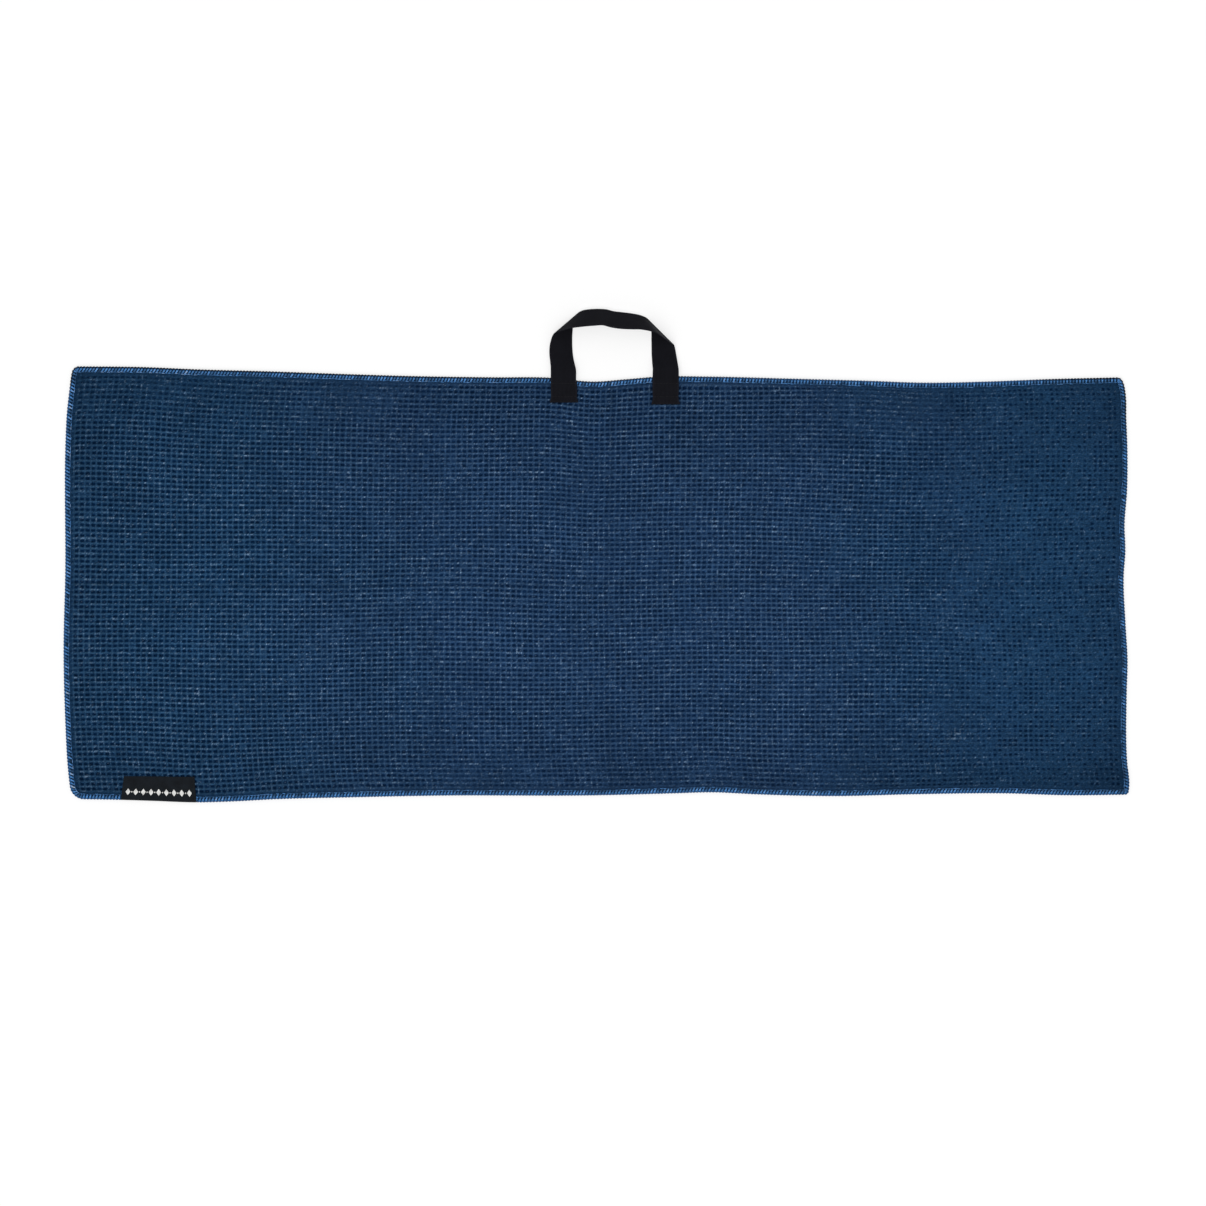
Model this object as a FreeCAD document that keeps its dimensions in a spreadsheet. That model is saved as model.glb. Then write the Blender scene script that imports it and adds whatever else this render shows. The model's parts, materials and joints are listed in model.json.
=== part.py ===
"""Golf towel: a waffle cloth panel that folds in half lengthwise, its overlocked edging, a hanging
loop of flat webbing sewn to the middle of the top edge, and a woven label folded round the bottom
edge. It lies on its back, front face up, with its width along X. The origin is at the middle of
its footprint, on the surface it lies on. Lengths are in millimetres.
"""

import FreeCAD, Part  # noqa: E401
import math
import os

import Sketcher

SIZES = {
    # cloth panel
    "towel_width": 1016,
    "towel_height": 406,
    "cloth_thickness": 2.6,
    "corner_top_left": 5,
    "corner_top_right": 3,
    "corner_bottom_left": 11,
    "corner_bottom_right": 3,
    "least_radius": 0.4,
    "fold_gap": 0.3,
    # overlocked edging
    "edging_width": 5,
    "edging_thickness": 0.5,
    "rim_thickness": 0.6,
    "needle_width": 0.8,
    # webbing
    "webbing_width": 25.4,
    "webbing_thickness": 0.9,
    "loop_middle": 16.6,
    "leg_spacing": 97.6,
    "sewn_length": 23,
    "hem_gap": 1.5,
    "swing_reach": 6,
    "swing_gap": 0.15,
    "swing_lift": 0.15,
    "fold_clearance": 0.3,
    "landing_reach": 20,
    "crown_reach_left": 66.5,
    "crown_reach_right": 58.6,
    "crown_width_seen": 15.2,
    "crown_arch": 2,
    "fold_radius": 0.3,
    # woven label
    "label_middle": -422,
    "label_width": 71,
    "label_height": 25,
    "label_thickness": 0.3,
    # stitches
    "stitch_height": 0.2,
    "stitch_length": 2.2,
    "stitch_width": 0.6,
    "stitch_spacing": 3,
    "loop_stitch_count": 8,
    "loop_stitch_inset": 2.6,
    "label_stitch_count": 7,
    "label_stitch_inset": 1.2,
}

HALF_WIDTH = "(Sizes.towel_width / 2)"
TOP_EDGE = "((Sizes.towel_height - Sizes.crown_reach_left + Sizes.label_thickness) / 2)"
BOTTOM_EDGE = f"({TOP_EDGE} - Sizes.towel_height)"
FOLD_LINE = f"({TOP_EDGE} - Sizes.towel_height / 2)"
WEBBING_TOP = "(Sizes.cloth_thickness + 2 * Sizes.webbing_thickness)"
EDGING_INSET = "(Sizes.edging_width + Sizes.needle_width)"
LEG_INNER = "((Sizes.leg_spacing - Sizes.webbing_width) / 2)"
LEG_OUTER = "((Sizes.leg_spacing + Sizes.webbing_width) / 2)"

doc = FreeCAD.newDocument("GolfTowel")


def make_sheet():
    """The driving dimensions, one row each: name and value, with the name as the value's alias."""
    made = doc.addObject("Spreadsheet::Sheet", "Sizes")
    for row, (name, size) in enumerate(SIZES.items(), start=1):
        made.set(f"A{row}", name)
        made.set(f"B{row}", str(size))
        made.setAlias(f"B{row}", name)
    doc.recompute()
    return made


sheet = make_sheet()


def size(expression):
    """The number that an expression in the sheet's sizes works out to."""
    return float(sheet.evalExpression(expression))


# ---------------------------------------------------------------- building blocks


def new_body(label):
    body = doc.addObject("PartDesign::Body", label)
    body.Label = label
    body.AllowCompound = True
    return body


def shifted(corner, direction, radius):
    """The expressions for the place where a corner's rounding meets its side along direction."""
    return [
        f"({place} {'-' if share < 0 else '+'} {radius})" if abs(share) > 0.5 else place
        for place, share in zip(corner, direction)
    ]


def pin(sketch, line, end, expressions):
    """Ties one end of a line to a pair of expressions, measured from the sketch's origin."""
    for kind, expression in zip(("DistanceX", "DistanceY"), expressions):
        datum = sketch.addConstraint(
            Sketcher.Constraint(kind, -1, 1, line, end, size(expression))
        )
        sketch.setExpression(f"Constraints[{datum}]", expression)


def add_rounding(sketch, point, back, ahead, radius, arriving, leaving):
    """Adds the arc between two lines that meet squarely, with its radius tied to an expression."""
    reach = size(radius)
    middle = point + (back + ahead) * reach
    turns_left = ahead.cross(back).z > 0
    first, last = (back, ahead) if turns_left else (ahead, back)
    starts = math.atan2(-last.y, -last.x)
    circle = Part.Circle(middle, FreeCAD.Vector(0, 0, 1), reach)
    arc = sketch.addGeometry(Part.ArcOfCircle(circle, starts, starts + math.pi / 2))
    start, end = ((arriving, 2), (leaving, 1)) if turns_left else ((leaving, 1), (arriving, 2))
    sketch.addConstraint(Sketcher.Constraint("Coincident", arc, 1, *start))
    sketch.addConstraint(Sketcher.Constraint("Coincident", arc, 2, *end))
    datum = sketch.addConstraint(Sketcher.Constraint("Radius", arc, reach))
    sketch.setExpression(f"Constraints[{datum}]", radius)


def outline(body, plane, corners, offset):
    """A closed sketch at offset from an origin plane. Each corner is a pair of expressions for its
    place, and a third for its radius where it is a rounded corner between square sides."""
    sketch = body.newObject("Sketcher::SketchObject", f"{body.Name}_outline")
    support = [feature for feature in body.Origin.OriginFeatures if feature.Role == plane]
    sketch.AttachmentSupport = [(support[0], "")]
    sketch.MapMode = "FlatFace"
    sketch.setExpression("AttachmentOffset.Base.z", offset)
    points = [FreeCAD.Vector(size(corner[0]), size(corner[1]), 0) for corner in corners]
    count = len(points)
    leave, arrive = [], []
    for index, corner in enumerate(corners):
        back = (points[index - 1] - points[index]).normalize()
        ahead = (points[(index + 1) % count] - points[index]).normalize()
        rounded = len(corner) == 3
        arrive.append(shifted(corner[:2], back, corner[2]) if rounded else corner)
        leave.append(shifted(corner[:2], ahead, corner[2]) if rounded else corner)
    for index in range(count):
        ends = [leave[index], arrive[(index + 1) % count]]
        line = [FreeCAD.Vector(size(across), size(up), 0) for across, up in ends]
        sketch.addGeometry(Part.LineSegment(*line))
    for index, corner in enumerate(corners):
        arriving = (index - 1) % count
        pin(sketch, index, 1, leave[index])
        if len(corner) == 2:
            sketch.addConstraint(Sketcher.Constraint("Coincident", arriving, 2, index, 1))
            continue
        pin(sketch, arriving, 2, arrive[index])
        back = (points[arriving] - points[index]).normalize()
        ahead = (points[(index + 1) % count] - points[index]).normalize()
        add_rounding(sketch, points[index], back, ahead, corner[2], arriving, index)
    return sketch


def pad(body, corners, bottom, height, plane="XY_Plane"):
    """A pad of the outline through corners, from bottom, along the plane's normal by height."""
    feature = body.newObject("PartDesign::Pad", f"{body.Name}_pad")
    feature.Profile = outline(body, plane, corners, bottom)
    feature.setExpression("Length", height)
    doc.recompute()
    return feature


def pocket(body, corners, top, depth):
    """A pocket of the outline through corners, downwards from top, which has to remove material."""
    before = body.Shape.Volume
    feature = body.newObject("PartDesign::Pocket", f"{body.Name}_pocket")
    feature.Profile = outline(body, "XY_Plane", corners, top)
    feature.setExpression("Length", depth)
    doc.recompute()
    if feature.Shape.Volume >= before:
        raise RuntimeError(f"the pocket in {body.Label} removes nothing")
    return feature


def rectangle(left, right, low, high):
    return [(left, low), (right, low), (right, high), (left, high)]


# ---------------------------------------------------------------- cloth and edging


class Half:
    """One half of the towel: its long edge, its side of the fold, and its two corner radii."""

    def __init__(self, name, edge, fold, inward, left_radius, right_radius):
        self.name = name
        self.edge = edge
        self.fold = fold
        self.inward = inward
        self.left_radius = left_radius
        self.right_radius = right_radius

    def panel(self, inset):
        """The half's outline, inset from its three finished sides, its roundings kept parallel."""
        left = f"(-({HALF_WIDTH} - {inset}))"
        right = f"({HALF_WIDTH} - {inset})"
        high = f"({self.edge} {self.inward} {inset})"
        return [
            (left, self.fold),
            (left, high, f"max({self.left_radius} - {inset}; Sizes.least_radius)"),
            (right, high, f"max({self.right_radius} - {inset}; Sizes.least_radius)"),
            (right, self.fold),
        ]

    def border(self, outer, inner):
        """A strip along the three finished sides, between two insets."""
        return self.panel(outer) + list(reversed(self.panel(inner)))


UPPER = Half(
    "upper", TOP_EDGE, f"({FOLD_LINE} + Sizes.fold_gap / 2)", "-",
    "Sizes.corner_top_left", "Sizes.corner_top_right",
)
LOWER = Half(
    "lower", BOTTOM_EDGE, f"({FOLD_LINE} - Sizes.fold_gap / 2)", "+",
    "Sizes.corner_bottom_left", "Sizes.corner_bottom_right",
)


def cloth(half):
    """Half of the waffle panel: full thickness inside, pressed thinner where the edging grips it."""
    body = new_body(f"cloth_{half.name}_half")
    gripped = "Sizes.rim_thickness"
    pressed = "(Sizes.cloth_thickness - 2 * Sizes.edging_thickness)"
    pad(body, half.panel(gripped), "Sizes.edging_thickness", pressed)
    pad(body, half.panel(EDGING_INSET), "0", "Sizes.cloth_thickness")
    return body


def looper_thread(half, face):
    """The overlock's front or back looper thread: a strip on that face and half of the rim."""
    body = new_body(f"edging_{face}_thread_{half.name}")
    front = face == "front"
    middle = "(Sizes.cloth_thickness / 2)"
    rim_height = f"({middle} - Sizes.edging_thickness)"
    strip_bottom = "(Sizes.cloth_thickness - Sizes.edging_thickness)" if front else "0"
    rim_bottom = middle if front else "Sizes.edging_thickness"
    strip_inset = "Sizes.edging_width" if front else EDGING_INSET
    pad(body, half.border("0", strip_inset), strip_bottom, "Sizes.edging_thickness")
    pad(body, half.border("0", "Sizes.rim_thickness"), rim_bottom, rim_height)
    return body


def needle_thread(half):
    """The overlock's needle thread: the straight line of stitches along the front strip's edge."""
    body = new_body(f"edging_needle_thread_{half.name}")
    bottom = "(Sizes.cloth_thickness - Sizes.edging_thickness)"
    strip = half.border("Sizes.edging_width", EDGING_INSET)
    pad(body, strip, bottom, "Sizes.edging_thickness")
    return body


# ---------------------------------------------------------------- woven label

LABEL_LEFT = "(Sizes.label_middle - Sizes.label_width / 2)"
LABEL_RIGHT = "(Sizes.label_middle + Sizes.label_width / 2)"
LABEL_HIGH = f"({BOTTOM_EDGE} + Sizes.label_height)"
LABEL_LOW = f"({BOTTOM_EDGE} - Sizes.label_thickness)"
LABEL_TOP = "(Sizes.cloth_thickness + Sizes.label_thickness)"


def clear_label_back(body):
    """Presses a recess in the back face, as deep as the label's back leaf, which lies in it."""
    recess = rectangle(LABEL_LEFT, LABEL_RIGHT, LABEL_LOW, LABEL_HIGH)
    return pocket(body, recess, "Sizes.label_thickness", "Sizes.label_thickness")


def woven_label():
    """A strip of woven tape: a leaf on each face, joined round the towel's bottom edge."""
    body = new_body("woven_label")
    profile = [
        (LABEL_LOW, "0"),
        (LABEL_HIGH, "0"),
        (LABEL_HIGH, "Sizes.label_thickness"),
        (BOTTOM_EDGE, "Sizes.label_thickness"),
        (BOTTOM_EDGE, "Sizes.cloth_thickness"),
        (LABEL_HIGH, "Sizes.cloth_thickness"),
        (LABEL_HIGH, LABEL_TOP),
        (LABEL_LOW, LABEL_TOP),
    ]
    pad(body, profile, LABEL_LEFT, "Sizes.label_width", plane="YZ_Plane")
    return body


# ---------------------------------------------------------------- webbing

SIDES = {"left": "-", "right": "+"}
WEBBING_SPAN = "(Sizes.webbing_thickness + Sizes.cloth_thickness)"


def webbing_end(side):
    """A sewn end of the webbing: two layers on the cloth, its tip turned under, the upper layer
    running out past the edge to where the loop starts to swing."""
    body = new_body(f"loop_end_{side}")
    low = f"({TOP_EDGE} - Sizes.sewn_length)"
    hem = f"({TOP_EDGE} - Sizes.hem_gap)"
    reach = f"({TOP_EDGE} + Sizes.swing_reach - Sizes.swing_gap)"
    profile = [
        (low, "Sizes.cloth_thickness"),
        (hem, "Sizes.cloth_thickness"),
        (hem, WEBBING_SPAN),
        (reach, WEBBING_SPAN),
        (reach, WEBBING_TOP),
        (low, WEBBING_TOP),
    ]
    leg = f"(Sizes.loop_middle {SIDES[side]} Sizes.leg_spacing / 2)"
    start = f"({leg} - Sizes.webbing_width / 2)"
    pad(body, profile, start, "Sizes.webbing_width", plane="YZ_Plane")
    return body


def tape_station(first, second, lift):
    """The tape's cross-section as four corners: its two edges on one face, then on the other."""
    return [first, second, second + lift, first + lift]


def crown_edge(reach):
    """Where the crown's outer edge runs, so that the folds beyond it end at the loop's reach."""
    beyond = size("Sizes.webbing_thickness + Sizes.fold_radius") * math.sqrt(0.5)
    return size(TOP_EDGE) + reach - beyond


def leg_stations(side, reach):
    """The loop's left or right leg, from its root down to the surface and on to the slanting
    crease where the tape folds back over itself, then the fold's outside and the crown's first
    section on top of the leg."""
    sign = -1 if side == "left" else 1
    thick = size("Sizes.webbing_thickness")
    middle = size("Sizes.loop_middle")
    edge = size(TOP_EDGE)
    inner = middle + sign * size(LEG_INNER)
    outer = middle + sign * size(LEG_OUTER)
    root_y = edge + size("Sizes.swing_reach + Sizes.swing_gap")
    root_z = size(WEBBING_TOP) - thick
    crease_high_y = crown_edge(reach)
    crease_low_y = crease_high_y - size("Sizes.webbing_width")
    lift = FreeCAD.Vector(0, 0, thick)
    root = tape_station(
        FreeCAD.Vector(outer, root_y, root_z), FreeCAD.Vector(inner, root_y, root_z), lift
    )
    landing_y = edge + size("Sizes.landing_reach")
    landing = tape_station(
        FreeCAD.Vector(outer, landing_y, 0), FreeCAD.Vector(inner, landing_y, 0), lift
    )
    low = FreeCAD.Vector(outer, crease_low_y, 0)
    high = FreeCAD.Vector(inner, crease_high_y, 0)
    crease = tape_station(low, high, lift)
    radius = size("Sizes.fold_radius")
    out = FreeCAD.Vector(sign, 1, 0).normalize()
    above = FreeCAD.Vector(0, 0, thick + radius)
    outside = above + out * (thick + radius)
    turn = tape_station(low + outside, high + outside, out * -thick)
    second = FreeCAD.Vector(0, 0, 2 * (thick + radius))
    crown = tape_station(low + second, high + second, lift * -1)
    return [root, landing, crease, turn, crown]


def crown_station(x, reach, arch):
    """The crown's section at x: tilted, its outer edge resting low and its inner edge raised."""
    thick = size("Sizes.webbing_thickness")
    radius = size("Sizes.fold_radius")
    seen = size("Sizes.crown_width_seen")
    rise = math.sqrt(size("Sizes.webbing_width") ** 2 - seen**2)
    edge = crown_edge(reach)
    low_z = 2 * (thick + radius) + arch
    outer = FreeCAD.Vector(x, edge, low_z)
    inner = FreeCAD.Vector(x, edge - seen, low_z + rise)
    normal = FreeCAD.Vector(0, rise, seen).normalize()
    return tape_station(inner, outer, normal * -thick)


def closed_skin(stations):
    """A solid whose skin runs through the stations, each joined to the next by triangles. The
    tape's two faces, sides 0 and 2, are split along the same diagonal, so that they stay apart."""
    facets = []
    for here, there in zip(stations, stations[1:]):
        for index in range(4):
            following = (index + 1) % 4
            start, end = (following, index) if index == 2 else (index, following)
            facets.append([here[index], here[following], there[end]])
            facets.append([here[start], there[following], there[index]])
    for end in (list(reversed(stations[0])), stations[-1]):
        facets.append([end[0], end[1], end[2]])
        facets.append([end[0], end[2], end[3]])
    faces = [Part.Face(Part.makePolygon(corners + corners[:1])) for corners in facets]
    skin = Part.makeCompound(faces)
    skin.sewShape()
    solid = Part.Solid(skin.Shells[0])
    if solid.Volume < 0:
        solid.reverse()
    return solid


def hanging_loop():
    """The free part of the webbing: one tape, flat along each leg, folded over at a slanting crease
    at each corner, and tilted along its crown."""
    left_reach = size("Sizes.crown_reach_left")
    right_reach = size("Sizes.crown_reach_right")
    middle = size("Sizes.loop_middle")
    inner = size(LEG_INNER)
    arch = size("Sizes.crown_arch")
    left = leg_stations("left", left_reach)
    right = leg_stations("right", right_reach)
    spread = 0.6 * inner
    crown = [
        crown_station(middle - spread, left_reach, 0),
        crown_station(middle, (left_reach + right_reach) / 2, arch),
        crown_station(middle + spread, right_reach, 0),
    ]
    feature = doc.addObject("Part::Feature", "hanging_loop")
    feature.Label = "hanging_loop"
    feature.Shape = closed_skin(left + crown + list(reversed(right)))
    return feature


# ---------------------------------------------------------------- stitches


def stitch_row(label, x, y, bottom, along, count):
    """A straight row of separate stitches, the first centred on x, y, the rest spaced along an
    origin axis of the body."""
    body = new_body(label)
    long, short = "Sizes.stitch_length / 2", "Sizes.stitch_width / 2"
    reach_x, reach_y = (long, short) if along == "X_Axis" else (short, long)
    corners = rectangle(f"{x} - {reach_x}", f"{x} + {reach_x}", f"{y} - {reach_y}", f"{y} + {reach_y}")
    stitch = pad(body, corners, bottom, "Sizes.stitch_height")
    row = body.newObject("PartDesign::LinearPattern", f"{label}_row")
    row.Originals = [stitch]
    axis = [feature for feature in body.Origin.OriginFeatures if feature.Role == along]
    row.Direction = (axis[0], [""])
    row.setExpression("Occurrences", count)
    row.setExpression("Length", f"Sizes.stitch_spacing * ({count} - 1)")
    body.Tip = row
    doc.recompute()
    return body


def loop_stitches(side, place):
    """A row across a sewn webbing end, near the cloth's edge or near the tape's turned-under end."""
    leg = f"(Sizes.loop_middle {SIDES[side]} Sizes.leg_spacing / 2)"
    run = "(Sizes.stitch_spacing * (Sizes.loop_stitch_count - 1))"
    inset = {
        "edge": "(Sizes.loop_stitch_inset + Sizes.edging_width)",
        "end": "(Sizes.sewn_length - Sizes.loop_stitch_inset)",
    }[place]
    first = f"({leg} - {run} / 2)"
    return stitch_row(
        f"loop_{side}_{place}_stitches", first, f"({TOP_EDGE} - {inset})", WEBBING_TOP,
        "X_Axis", "Sizes.loop_stitch_count",
    )


def label_stitches(side):
    """A row down the left or right side of the label's front leaf."""
    x = {
        "left": f"({LABEL_LEFT} + Sizes.label_stitch_inset)",
        "right": f"({LABEL_RIGHT} - Sizes.label_stitch_inset)",
    }[side]
    run = "(Sizes.stitch_spacing * (Sizes.label_stitch_count - 1))"
    first = f"({BOTTOM_EDGE} + (Sizes.label_height - {run}) / 2)"
    return stitch_row(
        f"label_{side}_stitches", x, first, LABEL_TOP, "Y_Axis", "Sizes.label_stitch_count"
    )


# ---------------------------------------------------------------- joint axes


def axis_line(name, x_from, x_to, y, z):
    """A line along a joint's axis, which isn't a piece of the towel."""
    line = doc.addObject("Part::Line", name)
    ends = {"X1": x_from, "Y1": y, "Z1": z, "X2": x_to, "Y2": y, "Z2": z}
    for key, expression in ends.items():
        line.setExpression(key, expression)
    return line


def joint_axes():
    """The lengthwise fold turns just above the front face, high enough for the folded half to clear
    the sewn webbing. The loop swings just above the webbing, beyond the towel's edge."""
    stack = f"(Sizes.cloth_thickness + {WEBBING_TOP} + Sizes.stitch_height + Sizes.fold_clearance)"
    fold = axis_line(
        "lengthwise_fold_axis", f"-{HALF_WIDTH}", HALF_WIDTH, FOLD_LINE, f"{stack} / 2"
    )
    swing = axis_line(
        "loop_swing_axis", f"Sizes.loop_middle - {LEG_OUTER}", f"Sizes.loop_middle + {LEG_OUTER}",
        f"{TOP_EDGE} + Sizes.swing_reach", f"{WEBBING_TOP} + Sizes.swing_lift",
    )
    return [fold, swing]


# ---------------------------------------------------------------- assembly


def build():
    """Every sub-part of the towel."""
    parts = []
    for half in (UPPER, LOWER):
        parts += [cloth(half), looper_thread(half, "front"), looper_thread(half, "back")]
        parts.append(needle_thread(half))
    for body in parts:
        if body.Label in ("cloth_lower_half", "edging_back_thread_lower"):
            clear_label_back(body)
    parts += [webbing_end(side) for side in SIDES]
    parts.append(hanging_loop())
    parts += [loop_stitches(side, place) for side in SIDES for place in ("edge", "end")]
    parts.append(woven_label())
    parts += [label_stitches(side) for side in SIDES]
    return parts


def check(parts):
    """Stops if anything in the document failed, or a sub-part's shape is empty or not valid."""
    doc.recompute()
    for thing in doc.Objects:
        if {"Invalid", "Error"} & set(thing.State):
            raise RuntimeError(f"{thing.Name} failed: {thing.State}")
    for part in parts:
        if part.Shape.isNull() or not part.Shape.isValid():
            raise RuntimeError(f"{part.Label} has no valid shape")


parts = build()
axes = joint_axes()
check(parts)
os.makedirs("parts", exist_ok=True)
for part in parts:
    part.Shape.exportStep(f"parts/{part.Label}.step")
    box = part.Shape.BoundBox
    print(
        f"{part.Label:28s} solids {len(part.Shape.Solids):2d} volume {part.Shape.Volume:10.1f}"
        f"  x {box.XMin:8.2f} {box.XMax:8.2f}  y {box.YMin:8.2f} {box.YMax:8.2f}"
        f"  z {box.ZMin:6.2f} {box.ZMax:6.2f}"
    )
for line in axes:
    print(f"{line.Name:28s} y {float(line.Y1):8.3f}  z {float(line.Z1):6.3f}")
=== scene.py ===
import json
import math

import bpy
import numpy as np
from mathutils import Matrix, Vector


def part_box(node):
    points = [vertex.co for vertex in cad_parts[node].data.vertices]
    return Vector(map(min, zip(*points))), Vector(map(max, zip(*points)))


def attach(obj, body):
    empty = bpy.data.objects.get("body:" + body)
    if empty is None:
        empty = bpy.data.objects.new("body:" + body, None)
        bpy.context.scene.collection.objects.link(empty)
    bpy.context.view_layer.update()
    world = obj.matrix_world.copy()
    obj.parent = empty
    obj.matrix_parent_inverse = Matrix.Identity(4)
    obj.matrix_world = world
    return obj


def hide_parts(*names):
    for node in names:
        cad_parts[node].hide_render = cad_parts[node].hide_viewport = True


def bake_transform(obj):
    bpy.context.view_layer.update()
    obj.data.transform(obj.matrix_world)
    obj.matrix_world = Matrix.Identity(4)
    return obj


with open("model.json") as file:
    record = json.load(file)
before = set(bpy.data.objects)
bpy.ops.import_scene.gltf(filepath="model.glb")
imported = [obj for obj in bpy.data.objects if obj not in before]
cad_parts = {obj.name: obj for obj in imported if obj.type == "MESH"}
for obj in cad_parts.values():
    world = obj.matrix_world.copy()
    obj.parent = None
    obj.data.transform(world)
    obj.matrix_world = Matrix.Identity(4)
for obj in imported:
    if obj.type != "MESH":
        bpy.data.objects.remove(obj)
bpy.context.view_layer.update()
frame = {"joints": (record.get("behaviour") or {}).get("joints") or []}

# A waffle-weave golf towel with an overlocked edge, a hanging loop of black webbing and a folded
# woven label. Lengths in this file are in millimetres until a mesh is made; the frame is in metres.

MM = 0.001

# ---------------- the frame's own sizes


def corner_pair(node):
    """A CAD node's lowest and highest corners, in millimetres."""
    low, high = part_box(node)
    return np.array(low) / MM, np.array(high) / MM


UPPER_LOW, UPPER_HIGH = corner_pair("edging_front_thread_upper")
LOWER_LOW, LOWER_HIGH = corner_pair("edging_front_thread_lower")
CLOTH_LOW, CLOTH_HIGH = corner_pair("cloth_upper_half")
LABEL_LOW, LABEL_HIGH = corner_pair("woven_label")
LEFT_END_LOW, LEFT_END_HIGH = corner_pair("loop_end_left")
RIGHT_END_LOW, RIGHT_END_HIGH = corner_pair("loop_end_right")

SIDE = UPPER_HIGH[0]
TOP = UPPER_HIGH[1]
BOTTOM = LOWER_LOW[1]
THICK = CLOTH_HIGH[2]
JOINTS = {joint["name"]: joint for joint in frame["joints"]}
FOLD = JOINTS["lengthwise_fold"]["pos_m"][1] / MM
SWING = JOINTS["loop_swing"]["pos_m"][1] / MM

# Radius of each corner: right top, left top, left bottom, right bottom.
CORNERS = [(1, 1, 3.0), (-1, 1, 5.0), (-1, -1, 11.0), (1, -1, 3.0)]
EDGING = 5.0
RIM = 0.6
PRESSED = 0.5
UPWARD = np.array([0.0, 0.0, 1.0])


# ---------------- numbers and curves


def smooth(low, high, value):
    """0 below low, 1 above high, and an even S between them."""
    t = np.clip((value - low) / (high - low), 0, 1)
    return t * t * (3 - 2 * t)


def through(points):
    """A smooth curve through (place, value) pairs, as a function of an array of places."""
    at, value = (np.array(column, float) for column in zip(*points))
    slope = np.gradient(value, at)

    def curve(place):
        place = np.clip(place, at[0], at[-1])
        low = np.clip(np.searchsorted(at, place, side="right") - 1, 0, len(at) - 2)
        span = at[low + 1] - at[low]
        t = (place - at[low]) / span
        start = value[low] * (1 + 2 * t) + slope[low] * span * t
        end = value[low + 1] * (3 - 2 * t) - slope[low + 1] * span * (1 - t)
        return start * (1 - t) ** 2 + end * t**2

    return curve


def waves(x, y, seed, count, longest, shortest):
    """A gentle random surface between about -1 and 1, made of a few crossing waves."""
    draw = np.random.default_rng(seed)
    total = np.zeros(np.broadcast(x, y).shape)
    for _ in range(count):
        length = shortest * (longest / shortest) ** draw.random()
        heading = draw.uniform(0, math.pi)
        phase = draw.uniform(0, 2 * math.pi)
        along = x * math.cos(heading) + y * math.sin(heading)
        total += np.sin(2 * math.pi * along / length + phase)
    return total / math.sqrt(count) / 1.4


# ---------------- how the towel lies

# How far each edge lies from the straight cut: along the top and bottom (up), and along the left
# and right (to the right), as (place along the edge, offset).
TOP_EDGE = through([
    (-508, 8.6), (-440, 7.9), (-390, 5.8), (-315, 3.7), (-238, 1.0), (-180, -0.7), (-100, -1.9),
    (-45, -2.3), (-3, -6.0), (30, -3.6), (60, -1.2), (108, -1.2), (185, -3.1), (262, -5.2),
    (320, -7.1), (377, -6.0), (440, -3.6), (508, -2.0),
])
BOTTOM_EDGE = through([
    (-508, -0.5), (-470, -1.0), (-430, -2.2), (-390, -3.6), (-353, -2.7), (-315, -0.7),
    (-240, 1.2), (-160, 2.8), (0, 3.2), (70, 5.0), (108, 6.0), (150, 4.1), (225, 2.4),
    (300, 4.1), (390, 5.0), (450, 3.2), (508, 3.8),
])
LEFT_EDGE = through([
    (-236, 3.4), (-222, 1.2), (-205, -0.6), (-165, -2.8), (-94, -4.6), (-20, -3.0), (98, -2.8),
    (125, -1.6), (150, 1.2), (162, 2.8), (170, 4.6),
])
RIGHT_EDGE = through([
    (-236, 1.8), (-226, 2.6), (-205, 0.6), (-140, 0.0), (-105, 0.9), (-70, -1.0), (-22, -2.8),
    (2, -1.2), (26, -2.0), (60, 0.4), (98, 0.8), (130, -0.3), (156, -1.2), (164, -2.8), (170, -5.6),
])


def lie(x, y):
    """Where a point of the straight-cut towel lies, with its edges drawn in and let out."""
    above = np.clip((y - FOLD) / (TOP - FOLD), 0, None)
    below = np.clip((FOLD - y) / (FOLD - BOTTOM), 0, None)
    across = (x + SIDE) / (2 * SIDE)
    new_y = y + TOP_EDGE(x) * above + BOTTOM_EDGE(x) * below
    new_x = x + LEFT_EDGE(y) * (1 - across) + RIGHT_EDGE(y) * across
    return new_x, new_y


def distance_in(x, y):
    """How far inside the straight-cut outline a point is, leaving the corners square."""
    return np.minimum(np.minimum(SIDE - x, SIDE + x), np.minimum(TOP - y, y - BOTTOM))


def round_corners(x, y):
    """Draws a square grid's corners in to the towel's rounded ones."""
    for right, up, radius in CORNERS:
        centre_x, centre_y = corner_centre(right, up, radius)
        out_x = np.maximum((x - centre_x) * right, 0)
        out_y = np.maximum((y - centre_y) * up, 0)
        inside = (out_x > 0) & (out_y > 0)
        reach = np.maximum(np.hypot(out_x, out_y), 1e-9)
        scale = np.where(inside, np.maximum(out_x, out_y) / reach, 1.0)
        x = np.where(inside, centre_x + right * out_x * scale, x)
        y = np.where(inside, centre_y + up * out_y * scale, y)
    return x, y


def corner_centre(right, up, radius):
    """The middle of a corner's arc."""
    return right * (SIDE - radius), (TOP - radius) if up > 0 else (BOTTOM + radius)


def near_box(x, y, low, high, margin):
    """1 on a flat box, falling to 0 at a margin round it."""
    away_x = np.maximum(np.maximum(low[0] - x, x - high[0]), 0)
    away_y = np.maximum(np.maximum(low[1] - y, y - high[1]), 0)
    return 1 - smooth(0, margin, np.hypot(away_x, away_y))


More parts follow.
